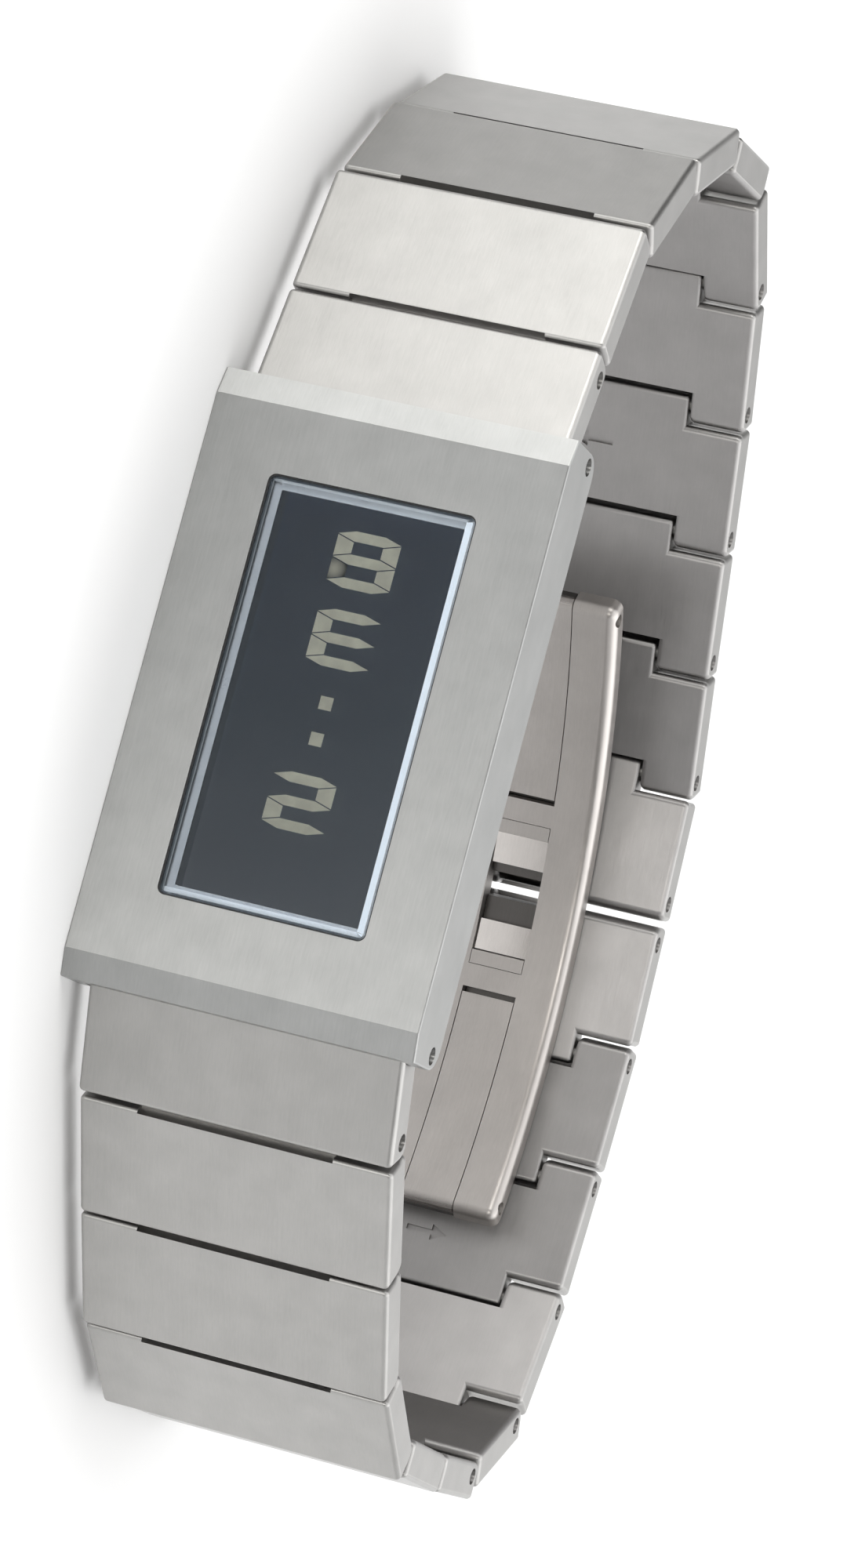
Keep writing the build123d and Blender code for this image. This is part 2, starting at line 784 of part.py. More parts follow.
with BuildPart() as case_back_screws:
    with BuildSketch(depth_plane(case_thickness - back_screw_head_depth)):
        with GridLocations(2 * back_screw_x, 2 * back_screw_z, 2, 2):
            Circle(back_screw_head_radius)
    extrude(amount=back_screw_head_depth)
    with BuildSketch(depth_plane(case_thickness - back_screw_head_depth)):
        with GridLocations(2 * back_screw_x, 2 * back_screw_z, 2, 2):
            Circle(back_screw_radius)
    extrude(amount=-back_screw_length)
    with BuildSketch(depth_plane(case_thickness - screw_slot_depth)):
        with GridLocations(2 * back_screw_x, 2 * back_screw_z, 2, 2):
            Rectangle(2 * back_screw_head_radius + overrun, screw_slot_width)
    extrude(amount=case_thickness, mode=Mode.SUBTRACT)
keep(case_back_screws.part, "case_back_screws")

# Push buttons in the lower side, and the rings that seal their stems
for label, side in (("button_upper", -1), ("button_lower", 1)):
    place = side * button_spacing / 2
    wall = (case_width - cavity_width) / 2
    with BuildPart() as button:
        with BuildSketch(Plane(origin=(place, 0, button_recess))):
            Circle(button_radius)
        extrude(amount=button_head_length)
        with BuildSketch(Plane(origin=(place, 0, button_recess))):
            Circle(button_stem_radius)
        extrude(amount=wall + button_stem_reach - button_recess)
    keep(button.part, label)

with BuildPart() as button_seals:
    with BuildSketch(Plane.XY.offset(button_bore_depth + seal_inset)):
        with GridLocations(button_spacing, overrun, 2, 1):
            Circle(seal_radius)
            Circle(button_stem_radius + button_fit, mode=Mode.SUBTRACT)
    extrude(amount=seal_length)
keep(button_seals.part, "button_seals")

# Bracelet: eleven links in each half, every second one carrying the pins at its two ends
(upper_pins, upper_headings), (lower_pins, lower_headings) = closed_ring()
for half, pins, headings, side in (
    ("upper", upper_pins, upper_headings, 1),
    ("lower", lower_pins, lower_headings, -1),
):
    for number in range(1, link_count + 1):
        label = half + "_link_" + str(number).zfill(2)
        make_link(label, number, pins[number - 1], headings[number - 1], side)
        if number % 2:
            blinds = []
            reaches = []
            for owner in (number - 1, number):
                blinds.append(blind_link_first <= owner <= blind_link_last)
                reaches.append(link_width / 2 if owner else case_width / 2)
            places = (pins[number - 1], pins[number])
            make_link_pins(half + "_pins_" + str(number).zfill(2), places, blinds, reaches)

# Folding clasp: one curved frame with two blades flush in it
clasp_heading = (upper_headings[-1] + lower_headings[-1] - 180) / 2 + clasp_tilt
clasp_top_x = (upper_pins[-1][0] + lower_pins[-1][0]) / 2
clasp_top_y = (upper_pins[-1][1] + lower_pins[-1][1]) / 2
end_heading = lower_headings[-1] - 180
end_lean = radians(clasp_heading - end_heading)
end_rise = (clasp_top_x - lower_pins[-1][0]) * -sin(radians(end_heading))
end_rise += (clasp_top_y - lower_pins[-1][1]) * cos(radians(end_heading))
clasp_drop = (clasp_radius + link_inner_half + clasp_clearance + end_rise) / cos(end_lean)
clasp_centre_x = clasp_top_x + clasp_drop * sin(radians(clasp_heading))
clasp_centre_y = clasp_top_y - clasp_drop * cos(radians(clasp_heading))
clasp_plane = Plane(
    origin=(clasp_centre_x, clasp_centre_y, middle),
    x_dir=(cos(radians(clasp_heading)), sin(radians(clasp_heading)), 0),
    z_dir=(0, 0, 1),
)
clasp_inner = clasp_radius - clasp_thickness
clasp_middle = clasp_radius - clasp_thickness / 2


def turn(length):
    # Angle in degrees that a length along the clasp's middle line takes up
    return degrees(length / clasp_middle)


def clasp_point(length, radius):
    angle = radians(90 - turn(length))
    return (radius * cos(angle), radius * sin(angle))


def arc_band(start, end, low, high):
    # Side view of a strip along the clasp, from one length to another
    begin = 90 - turn(end)
    sweep_angle = turn(end) - turn(start)
    with BuildLine() as outline:
        CenterArc((0, 0), low, begin, sweep_angle)
        CenterArc((0, 0), high, begin, sweep_angle)
        Line(clasp_point(start, low), clasp_point(start, high))
        Line(clasp_point(end, low), clasp_point(end, high))
    make_face(outline.edges())


hinge_length = clasp_half_length - clasp_hinge_inset
hinge_points = (clasp_point(-hinge_length, clasp_middle), clasp_point(hinge_length, clasp_middle))
with BuildPart() as clasp_frame:
    with BuildSketch(clasp_plane):
        arc_band(-clasp_half_length, clasp_half_length, clasp_inner, clasp_radius)
    extrude(amount=clasp_width / 2, both=True)
    corners = []
    for edge in clasp_frame.edges().filter_by(GeomType.LINE):
        if abs(edge.tangent_at(0).Z) < edge.tangent_at(0).length / 2:
            corners.append(edge)
    fillet(corners, radius=clasp_corner)
    inner_face = clasp_frame.faces().filter_by(GeomType.CYLINDER).sort_by(SortBy.AREA)[-2]
    fillet(inner_face.edges(), radius=clasp_rim)
    for start, end in (
        (-clasp_half_length - overrun, -bar_outer_end),
        (-bar_inner_end, bar_inner_end),
        (bar_outer_end, clasp_half_length + overrun),
    ):
        with BuildSketch(clasp_plane):
            arc_band(start, end, clasp_inner - overrun, clasp_radius + overrun)
        extrude(amount=blade_slot_width / 2, both=True, mode=Mode.SUBTRACT)
    with BuildSketch(clasp_plane):
        arc_band(-bar_outer_end - overrun, bar_outer_end + overrun, clasp_inner + bar_depth,
                 clasp_radius + overrun)
    extrude(amount=blade_slot_width / 2, both=True, mode=Mode.SUBTRACT)
    with BuildSketch(clasp_plane):
        with Locations(*hinge_points):
            Circle(clasp_pin_radius + clasp_pin_fit)
    extrude(amount=clasp_width / 2 + overrun, both=True, mode=Mode.SUBTRACT)
keep(clasp_frame.part, "clasp_frame")

with BuildPart() as frame_pins:
    with BuildSketch(clasp_plane):
        with Locations(*hinge_points):
            Circle(clasp_pin_radius)
    extrude(amount=clasp_width / 2 - clasp_pin_recess, both=True)
keep(frame_pins.part, "frame_pins")

# Blades: each is hinged at one end of the frame and reaches the last link's pin
strip_high = clasp_radius + tongue_strip_proud
strip_low = strip_high - tongue_strip_thickness
for label, side, pin in (("upper_blade", -1, upper_pins[-1]), ("lower_blade", 1, lower_pins[-1])):
    local_pin = clasp_plane.to_local_coords(Vector(pin[0], pin[1], middle))
    pin_angle = degrees(atan2(local_pin.X, local_pin.Y))
    pin_length = radians(pin_angle) * clasp_middle
    pin_height = hypot(local_pin.X, local_pin.Y)
    with BuildPart() as blade:
        for start, end, low, high in (
            (clasp_half_length, bar_outer_end + blade_end_gap, clasp_inner, clasp_inner + blade_thickness),
            (bar_outer_end + 2 * blade_end_gap, side * pin_length, strip_low, strip_high),
            (pad_start, pad_end, clasp_inner + pad_recess, strip_high),
        ):
            with BuildSketch(clasp_plane):
                if side < 0:
                    arc_band(-start, -end, low, high)
                else:
                    arc_band(end, start, low, high)
            extrude(amount=blade_width / 2, both=True)
        # The rounded rim of the frame's end runs on across the blade
        tip = clasp_plane.from_local_coords(Vector(*clasp_point(side * clasp_half_length, clasp_inner), 0))
        rim_edge = blade.edges().filter_by(Axis.Z).sort_by_distance(tip)[0]
        fillet(rim_edge, radius=clasp_rim)
        with BuildSketch(clasp_plane):
            with Locations(hinge_points[(side + 1) // 2]):
                Circle(clasp_thickness / 2)
        extrude(amount=blade_width / 2, both=True)
        if side < 0:
            with BuildSketch(clasp_plane):
                with Locations((local_pin.X, local_pin.Y)):
                    Circle(knuckle_radius)
            extrude(amount=blade_width / 2, both=True)
            with BuildSketch(clasp_plane):
                arc_band(pin_length - knuckle_radius, pin_length, strip_low, pin_height)
            extrude(amount=blade_width / 2, both=True)
            with BuildSketch(clasp_plane):
                with Locations((local_pin.X, local_pin.Y)):
                    Circle(pin_radius + pin_fit)
            extrude(amount=blade_width / 2 + overrun, both=True, mode=Mode.SUBTRACT)
        else:
            with BuildSketch(clasp_plane):
                arc_band(pin_length - knuckle_radius, pin_length + knuckle_radius, strip_low,
                         pin_height - pin_radius - cradle_gap)
            extrude(amount=blade_width / 2, both=True)
        with BuildSketch(clasp_plane):
            with Locations(hinge_points[(side + 1) // 2]):
                Circle(clasp_pin_radius + clasp_pin_fit)
        extrude(amount=blade_width / 2 + overrun, both=True, mode=Mode.SUBTRACT)
    keep(blade.part, label)

# Catch pieces set across the middle window, flush with the frame
for label, side in (("upper_catch", -1), ("lower_catch", 1)):
    low_end = bar_inner_end - catch_fit - catch_length
    high_end = bar_inner_end - catch_fit
    with BuildPart() as catch:
        with BuildSketch(clasp_plane):
            if side < 0:
                arc_band(-high_end, -low_end, clasp_inner, clasp_inner + catch_depth)
            else:
                arc_band(low_end, high_end, clasp_inner, clasp_inner + catch_depth)
        extrude(amount=blade_slot_width / 2 - catch_fit, both=True)
    keep(catch.part, label)

print("nodes", len(written))
print("upper pins", [(round(x, 2), round(y, 2)) for x, y in upper_pins])
print("upper headings", [round(a, 1) for a in upper_headings])
print("lower pins", [(round(x, 2), round(y, 2)) for x, y in lower_pins])
print("lower headings", [round(a, 1) for a in lower_headings])
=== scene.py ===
import math

import bmesh
import bpy
from mathutils import Matrix, Vector


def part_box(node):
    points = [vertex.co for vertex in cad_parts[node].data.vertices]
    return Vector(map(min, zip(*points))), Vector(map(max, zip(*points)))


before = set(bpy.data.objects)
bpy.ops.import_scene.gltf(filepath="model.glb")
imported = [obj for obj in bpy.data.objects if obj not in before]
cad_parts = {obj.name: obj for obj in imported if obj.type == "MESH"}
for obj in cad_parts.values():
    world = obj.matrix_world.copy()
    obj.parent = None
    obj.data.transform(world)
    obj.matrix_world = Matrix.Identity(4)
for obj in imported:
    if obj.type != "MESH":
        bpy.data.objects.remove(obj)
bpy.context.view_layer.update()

# Case body: one block of stainless steel, milled and hollowed from the back. Its flat front, its
# bevelled ends and its sides are brushed along the watch, so the scratches lie level round the ring.
# Faces that look into the bracelet's ring are painted a little lighter and warmer than those that
# look out of it: painted light, standing in for light bounced round inside the ring.
MM = 0.001
ring_centre = (-1 * MM, 27 * MM, 11.15 * MM)
looks_inward = -0.5
looks_outward = 0.4
across_band = (0.1, 0.1, 1.0)
grain_lengths = 6
grain_fineness = 0.6
grain_share = 0.5
patches_per_metre = 420.0
patch_share = 0.45
scratch_depth = 0.01 * MM
gloss_spread = 0.05
middle_greys = {"From_Min": 0.3, "From_Max": 0.7}


def finish_node(tree, kind, **sockets):
    node = tree.nodes.new(kind)
    for name, value in sockets.items():
        node.inputs[name.replace("_", " ")].default_value = value
    return node


def steel(
    name, outer, inner_with_painted_light, along, across, roughness, relief, contrast=0.07, brushed=0.0, satin=0.0
):
    material = bpy.data.materials.new(name)
    material.use_nodes = True
    tree = material.node_tree
    shader = tree.nodes["Principled BSDF"]
    shader.inputs["Metallic"].default_value = 1.0
    shader.inputs["Anisotropic"].default_value = brushed
    # Brushed along the band, so highlights spread across it
    spread = tree.nodes.new("ShaderNodeCombineXYZ")
    for socket, value in zip(spread.inputs, across_band):
        socket.default_value = value
    tree.links.new(spread.outputs["Vector"], shader.inputs["Tangent"])
    place = tree.nodes.new("ShaderNodeTexCoord")
    # Long scratches and short grain, both drawn out along the band
    marks = []
    for length, breadth, detail in (
        (along, across, 3.0),
        (along / grain_lengths, across * grain_fineness, 1.0),
    ):
        stretch = tree.nodes.new("ShaderNodeMapping")
        stretch.inputs["Scale"].default_value = (1 / length, 1 / length, 1 / breadth)
        tree.links.new(place.outputs["Object"], stretch.inputs["Vector"])
        noise = finish_node(tree, "ShaderNodeTexNoise", Scale=1.0, Detail=detail, Roughness=0.6)
        tree.links.new(stretch.outputs["Vector"], noise.inputs["Vector"])
        marks.append(noise)
    scratches = tree.nodes.new("ShaderNodeMix")
    scratches.inputs["Factor"].default_value = grain_share
    tree.links.new(marks[0].outputs["Fac"], scratches.inputs["A"])
    tree.links.new(marks[1].outputs["Fac"], scratches.inputs["B"])
    # Broad cloudy patches under the scratches, as handling leaves them
    patches = finish_node(tree, "ShaderNodeTexNoise", Scale=patches_per_metre, Detail=4.0)
    tree.links.new(place.outputs["Object"], patches.inputs["Vector"])
    blend = tree.nodes.new("ShaderNodeMix")
    blend.inputs["Factor"].default_value = patch_share
    tree.links.new(scratches.outputs["Result"], blend.inputs["A"])
    tree.links.new(patches.outputs["Fac"], blend.inputs["B"])
    # 1 on faces that look out of the ring, 0 on faces that look into it
    from_ring = tree.nodes.new("ShaderNodeVectorMath")
    from_ring.operation = "SUBTRACT"
    from_ring.inputs[1].default_value = ring_centre
    tree.links.new(place.outputs["Object"], from_ring.inputs[0])
    unit = tree.nodes.new("ShaderNodeVectorMath")
    unit.operation = "NORMALIZE"
    tree.links.new(from_ring.outputs["Vector"], unit.inputs[0])
    lean = tree.nodes.new("ShaderNodeVectorMath")
    lean.operation = "DOT_PRODUCT"
    tree.links.new(unit.outputs["Vector"], lean.inputs[0])
    tree.links.new(place.outputs["Normal"], lean.inputs[1])
    facing = finish_node(
        tree, "ShaderNodeMapRange", From_Min=looks_inward, From_Max=looks_outward
    )
    tree.links.new(lean.outputs["Value"], facing.inputs["Value"])
    # A Mix node takes its two colours at sockets 6 and 7
    # Painted light: faces that look into the ring take the inner colour, lighter and warmer than the
    # outer one on the case, links and back
    tint = tree.nodes.new("ShaderNodeMix")
    tint.data_type = "RGBA"
    tint.inputs[6].default_value = (*inner_with_painted_light, 1)
    tint.inputs[7].default_value = (*outer, 1)
    tree.links.new(facing.outputs["Result"], tint.inputs["Factor"])
    tone = finish_node(
        tree, "ShaderNodeMapRange", **middle_greys, To_Min=1 - contrast, To_Max=1 + contrast
    )
    tree.links.new(blend.outputs["Result"], tone.inputs["Value"])
    shade = tree.nodes.new("ShaderNodeVectorMath")
    shade.operation = "SCALE"
    tree.links.new(tint.outputs[2], shade.inputs[0])
    tree.links.new(tone.outputs["Result"], shade.inputs["Scale"])
    tree.links.new(shade.outputs["Vector"], shader.inputs["Base Color"])
    gloss = finish_node(
        tree,
        "ShaderNodeMapRange",
        **middle_greys,
        To_Min=roughness - gloss_spread,
        To_Max=roughness + gloss_spread,
    )
    tree.links.new(scratches.outputs["Result"], gloss.inputs["Value"])
    # Tumbled inner faces are duller than brushed outer ones
    tumbled = finish_node(tree, "ShaderNodeMapRange", To_Min=satin, To_Max=0.0)
    tree.links.new(facing.outputs["Result"], tumbled.inputs["Value"])
    matt = tree.nodes.new("ShaderNodeMath")
    tree.links.new(gloss.outputs["Result"], matt.inputs[0])
    tree.links.new(tumbled.outputs["Result"], matt.inputs[1])
    tree.links.new(matt.outputs["Value"], shader.inputs["Roughness"])
    bump = finish_node(tree, "ShaderNodeBump", Strength=relief, Distance=scratch_depth)
    tree.links.new(scratches.outputs["Result"], bump.inputs["Height"])
    tree.links.new(bump.outputs["Normal"], shader.inputs["Normal"])
    return material


def dress(material, *names):
    for name in names:
        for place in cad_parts[name].material_slots:
            place.material = material


case_steel = steel(
    "case_steel",
    outer=(0.42, 0.425, 0.42),
    inner_with_painted_light=(0.5, 0.48, 0.46),
    along=5 * MM,
    across=0.14 * MM,
    roughness=0.42,
    relief=0.7,
    contrast=0.11,
    brushed=0.8,
)
dress(case_steel, "case_body")

# Crystal: a slab of mineral glass, ground flat and polished with a bevel all round. A thin black
# gasket holds it in the opening.
glass_index = 1.42
flat_shine = 0.03
bevel_shine = 0.4
glass = bpy.data.materials.new("crystal_glass")
glass.use_nodes = True
glass_shader = glass.node_tree.nodes["Principled BSDF"]
glass_shader.inputs["Base Color"].default_value = (0.8, 0.9, 1.0, 1)
glass_shader.inputs["Metallic"].default_value = 1.0
glass_shader.inputs["Roughness"].default_value = 0.03
glass_tree = glass.node_tree
# The front and back shine by Schlick's rule, which is the same from both sides of the glass
glass_slant = finish_node(glass_tree, "ShaderNodeLayerWeight", Blend=0.5)
glass_steep = glass_tree.nodes.new("ShaderNodeMath")
glass_steep.operation = "POWER"
glass_steep.inputs[1].default_value = 5.0
glass_tree.links.new(glass_slant.outputs["Facing"], glass_steep.inputs[0])
glass_flat = finish_node(glass_tree, "ShaderNodeMapRange", To_Min=flat_shine)
glass_tree.links.new(glass_steep.outputs["Value"], glass_flat.inputs["Value"])
# The polished bevels and edges catch more light
glass_rim = finish_node(glass_tree, "ShaderNodeFresnel", IOR=glass_index)
glass_edge = glass_tree.nodes.new("ShaderNodeMath")
glass_edge.use_clamp = True
glass_edge.inputs[1].default_value = bevel_shine
glass_tree.links.new(glass_rim.outputs["Fac"], glass_edge.inputs[0])
glass_place = glass_tree.nodes.new("ShaderNodeTexCoord")
glass_axes = glass_tree.nodes.new("ShaderNodeSeparateXYZ")
glass_tree.links.new(glass_place.outputs["Normal"], glass_axes.inputs["Vector"])
glass_bevel = finish_node(glass_tree, "ShaderNodeMapRange", From_Min=-0.95, From_Max=-0.8)
glass_tree.links.new(glass_axes.outputs["Y"], glass_bevel.inputs["Value"])
glass_total = glass_tree.nodes.new("ShaderNodeMix")
glass_tree.links.new(glass_bevel.outputs["Result"], glass_total.inputs["Factor"])
glass_tree.links.new(glass_flat.outputs["Result"], glass_total.inputs["A"])
glass_tree.links.new(glass_edge.outputs["Value"], glass_total.inputs["B"])
glass_tree.links.new(glass_total.outputs["Result"], glass_shader.inputs["Alpha"])
dress(glass, "crystal")
# Rubber, plastic and rod have a fine grain in place of brush marks
grain_depth = 0.02 * MM
dark_grains = 0.35
light_grains = 0.65


def speckled(name, light, dark, grain, roughness, metal=0.0, relief=0.1):
    material = bpy.data.materials.new(name)
    material.use_nodes = True
    tree = material.node_tree
    shader = tree.nodes["Principled BSDF"]
    shader.inputs["Metallic"].default_value = metal
    shader.inputs["Roughness"].default_value = roughness
    place = tree.nodes.new("ShaderNodeTexCoord")
    grains = finish_node(tree, "ShaderNodeTexNoise", Scale=1 / grain, Detail=3.0)
    tree.links.new(place.outputs["Object"], grains.inputs["Vector"])
    tint = tree.nodes.new("ShaderNodeValToRGB")
    tint.color_ramp.elements[0].position = dark_grains
    tint.color_ramp.elements[0].color = (*dark, 1)
    tint.color_ramp.elements[1].position = light_grains
    tint.color_ramp.elements[1].color = (*light, 1)
    tree.links.new(grains.outputs["Fac"], tint.inputs["Fac"])
    tree.links.new(tint.outputs["Color"], shader.inputs["Base Color"])
    bump = finish_node(tree, "ShaderNodeBump", Strength=relief, Distance=grain_depth)
    tree.links.new(grains.outputs["Fac"], bump.inputs["Height"])
    tree.links.new(bump.outputs["Normal"], shader.inputs["Normal"])
    return material


gasket_rubber = speckled(
    "gasket_rubber",
    light=(0.02, 0.022, 0.025),
    dark=(0.008, 0.009, 0.01),
    grain=0.2 * MM,
    roughness=0.5,
)
dress(gasket_rubber, "crystal_gasket")

# Display surround: a thin plated frame between the crystal and the panel. Through the crystal's
# bevels it shows as a bright silver-blue border.
silver_blue = (0.76, 0.81, 0.86)
surround_plate = steel(
    "surround_plate",
    outer=silver_blue,
    inner_with_painted_light=silver_blue,
    along=3 * MM,
    across=0.3 * MM,
    roughness=0.22,
    relief=0.02,
    contrast=0.03,
)
dress(surround_plate, "display_surround")

# Liquid crystal panel: thin plates of dark blue-grey glass bonded together. Painted light shades it
# from a deeper blue at the watch's upper end to grey at the lower end, and a painted shadow of the
# surround runs along its lower edge.
painted_shadow_breadth = 1.9 * MM
painted_shadow_blur = 0.1 * MM
painted_shadow_strength = 0.45
clouds_per_metre = 150.0
cloud_share = 0.12
panel = bpy.data.materials.new("panel_glass")
panel.use_nodes = True
panel_tree = panel.node_tree
panel_shader = panel_tree.nodes["Principled BSDF"]
panel_shader.inputs["Roughness"].default_value = 0.3
panel_shader.inputs["Specular IOR Level"].default_value = 0.0
panel_place = panel_tree.nodes.new("ShaderNodeTexCoord")
panel_axes = panel_tree.nodes.new("ShaderNodeSeparateXYZ")
panel_tree.links.new(panel_place.outputs["Object"], panel_axes.inputs["Vector"])
panel_low, panel_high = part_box("lcd_panel")
# Painted light: 0 at the panel's end towards the watch's upper end, 1 at its lower end
panel_painted_light_fade = finish_node(
    panel_tree, "ShaderNodeMapRange", From_Min=panel_low[0], From_Max=panel_high[0]
)
panel_tree.links.new(panel_axes.outputs["X"], panel_painted_light_fade.inputs["Value"])
panel_cloud = finish_node(panel_tree, "ShaderNodeTexNoise", Scale=clouds_per_metre, Detail=2.0)
panel_tree.links.new(panel_place.outputs["Object"], panel_cloud.inputs["Vector"])
panel_mix = panel_tree.nodes.new("ShaderNodeMix")
panel_mix.inputs["Factor"].default_value = cloud_share
panel_tree.links.new(panel_painted_light_fade.outputs["Result"], panel_mix.inputs["A"])
panel_tree.links.new(panel_cloud.outputs["Fac"], panel_mix.inputs["B"])
# Painted light: deep navy at the upper end fading to grey at the lower end, with random clouds mixed
# in
panel_clouds_and_painted_light = panel_tree.nodes.new("ShaderNodeValToRGB")
panel_clouds_and_painted_light.color_ramp.elements[0].position = 0.1
panel_clouds_and_painted_light.color_ramp.elements[0].color = (0.001, 0.008, 0.032, 1)
panel_clouds_and_painted_light.color_ramp.elements[1].position = 0.95
panel_clouds_and_painted_light.color_ramp.elements[1].color = (0.13, 0.14, 0.155, 1)
panel_clouds_and_painted_light.color_ramp.elements.new(0.5).color = (0.03, 0.04, 0.058, 1)
panel_tree.links.new(panel_mix.outputs["Result"], panel_clouds_and_painted_light.inputs["Fac"])
# Painted shadow of the surround: the panel's colour is darkened along its lower edge
painted_shadow_line = panel_low[2] + painted_shadow_breadth
panel_painted_shadow = finish_node(
    panel_tree,
    "ShaderNodeMapRange",
    From_Min=painted_shadow_line,
    From_Max=painted_shadow_line + painted_shadow_blur,
    To_Min=painted_shadow_strength,
)
panel_tree.links.new(panel_axes.outputs["Z"], panel_painted_shadow.inputs["Value"])
panel_shade = panel_tree.nodes.new("ShaderNodeVectorMath")
panel_shade.operation = "SCALE"
panel_tree.links.new(panel_clouds_and_painted_light.outputs["Color"], panel_shade.inputs[0])
panel_tree.links.new(panel_painted_shadow.outputs["Result"], panel_shade.inputs["Scale"])
panel_tree.links.new(panel_shade.outputs["Vector"], panel_shader.inputs["Base Color"])
dress(panel, "lcd_panel")

# Liquid crystal segments: pale greenish marks, slightly uneven as on any such display. One segment
# of the first digit is half switched and shows as a blurred glow.
glow_middle_x = -8.3425 * MM
glow_middle_z = 9.8 * MM
glow_top = 10.6 * MM
glow_reach = 3.47 * MM
glow_taper = 0.2952
glow_area = 0.5 * MM * MM
glow_bright = 0.8
glow_dim = 0.06
segments = speckled(
    "segment_pale", light=(0.95, 0.93, 0.79), dark=(0.82, 0.8, 0.68), grain=0.9 * MM, roughness=0.6
)
seg_tree = segments.node_tree
seg_shader = seg_tree.nodes["Principled BSDF"]
seg_shader.inputs["Specular IOR Level"].default_value = 0.0
seg_place = seg_tree.nodes.new("ShaderNodeTexCoord")
seg_axes = seg_tree.nodes.new("ShaderNodeSeparateXYZ")
seg_tree.links.new(seg_place.outputs["Object"], seg_axes.inputs["Vector"])


def seg_math(operation, first, second):
    node = seg_tree.nodes.new("ShaderNodeMath")
    node.operation = operation
    for socket, value in zip(node.inputs, (first, second)):
        if isinstance(value, float):
            socket.default_value = value
        else:
            seg_tree.links.new(value, socket)
    return node.outputs["Value"]


# 1 within the outline of the half-switched segment, 0 on the others
seg_across = seg_math("ABSOLUTE", seg_math("SUBTRACT", seg_axes.outputs["X"], glow_middle_x), 0.0)
seg_taper = seg_math("MULTIPLY", seg_axes.outputs["Z"], glow_taper)
seg_inside = seg_math("LESS_THAN", seg_math("ADD", seg_across, seg_taper), glow_reach)
seg_low = seg_math("LESS_THAN", seg_axes.outputs["Z"], glow_top)
seg_here = seg_math("MULTIPLY", seg_inside, seg_low)
# Its glow fades with the squared distance from its middle
seg_along = seg_math("SUBTRACT", seg_axes.outputs["Z"], glow_middle_z)
seg_square = seg_math(
    "ADD", seg_math("MULTIPLY", seg_across, seg_across), seg_math("MULTIPLY", seg_along, seg_along)
)
seg_glow = finish_node(
    seg_tree, "ShaderNodeMapRange", From_Max=glow_area, To_Min=glow_bright, To_Max=glow_dim
)
seg_tree.links.new(seg_square, seg_glow.inputs["Value"])
seg_fade = seg_tree.nodes.new("ShaderNodeMix")
seg_fade.inputs["A"].default_value = 1.0
seg_tree.links.new(seg_here, seg_fade.inputs["Factor"])
seg_tree.links.new(seg_glow.outputs["Result"], seg_fade.inputs["B"])
seg_shade = seg_tree.nodes.new("ShaderNodeVectorMath")
seg_shade.operation = "SCALE"
seg_tree.links.new(seg_shader.inputs["Base Color"].links[0].from_socket, seg_shade.inputs[0])
seg_tree.links.new(seg_fade.outputs["Result"], seg_shade.inputs["Scale"])
seg_tree.links.new(seg_shade.outputs["Vector"], seg_shader.inputs["Base Color"])
dress(segments, "lcd_segments")

# Movement: a moulded black carrier with the board, its chip, quartz can, cell and clip, and the
# rubber strips that join the panel to the board.
for finish, light, dark, grain, roughness, piece in (
    ("carrier_plastic", (0.03, 0.03, 0.032), (0.015, 0.015, 0.016), 0.4 * MM, 0.55, "module_frame"),
    ("strip_rubber", (0.42, 0.2, 0.24), (0.3, 0.12, 0.15), 0.15 * MM, 0.7, "zebra_strips"),
    ("board_laminate", (0.05, 0.19, 0.08), (0.025, 0.1, 0.045), 0.5 * MM, 0.4, "circuit_board"),
    ("chip_epoxy", (0.025, 0.025, 0.028), (0.01, 0.01, 0.012), 0.8 * MM, 0.3, "chip_cover"),
):
    dress(speckled(finish, light, dark, grain, roughness), piece)
nickel_grey = (0.7, 0.69, 0.66)
drawn_metal = steel(
    "drawn_metal",
    outer=nickel_grey,
    inner_with_painted_light=nickel_grey,
    along=2 * MM,
    across=0.2 * MM,
    roughness=0.28,
    relief=0.15,
)
dress(drawn_metal, "quartz_can", "battery", "battery_clip", "board_screws")

# Case back: a plain plate of stainless steel, seated on a flat rubber gasket in the back of the
# case. Four slotted screws near its corners hold it.
# Its inner colour is warmer than the outer one: painted light on the faces that look into the ring
back_steel = steel(
    "back_steel",
    outer=(0.56, 0.56, 0.555),
    inner_with_painted_light=(0.56, 0.545, 0.53),
    along=6 * MM,
    across=0.15 * MM,
    roughness=0.35,
    relief=0.3,
)
dress(back_steel, "case_back", "case_back_screws")
seal_rubber = speckled(
    "seal_rubber", light=(0.025, 0.025, 0.025), dark=(0.01, 0.01, 0.01), grain=0.2 * MM, roughness=0.6
)
dress(seal_rubber, "case_back_gasket", "button_seals")

# Push buttons: two small buttons of turned steel, flush with the lower side of the case. A rubber
# ring round each stem keeps water out.
dress(back_steel, "button_upper", "button_lower")

# Bracelet links: solid steel plates with a tongue at one end and a slot at the other. The outer
# faces are brushed along the band, and the sides and inner faces are tumbled to a satin.
links_a_side = 11
# Its inner colour is lighter than the outer one: painted light on the faces that look into the ring
link_steel = steel(
    "link_steel",
    outer=(0.422, 0.417, 0.406),
    inner_with_painted_light=(0.46, 0.45, 0.445),
    along=4 * MM,
    across=0.13 * MM,
    roughness=0.4,
    relief=0.6,
    contrast=0.1,
    brushed=0.75,
    satin=0.13,
)
for half in ("upper", "lower"):
    for number in range(1, links_a_side + 1):
        dress(link_steel, f"{half}_link_{number:02d}")

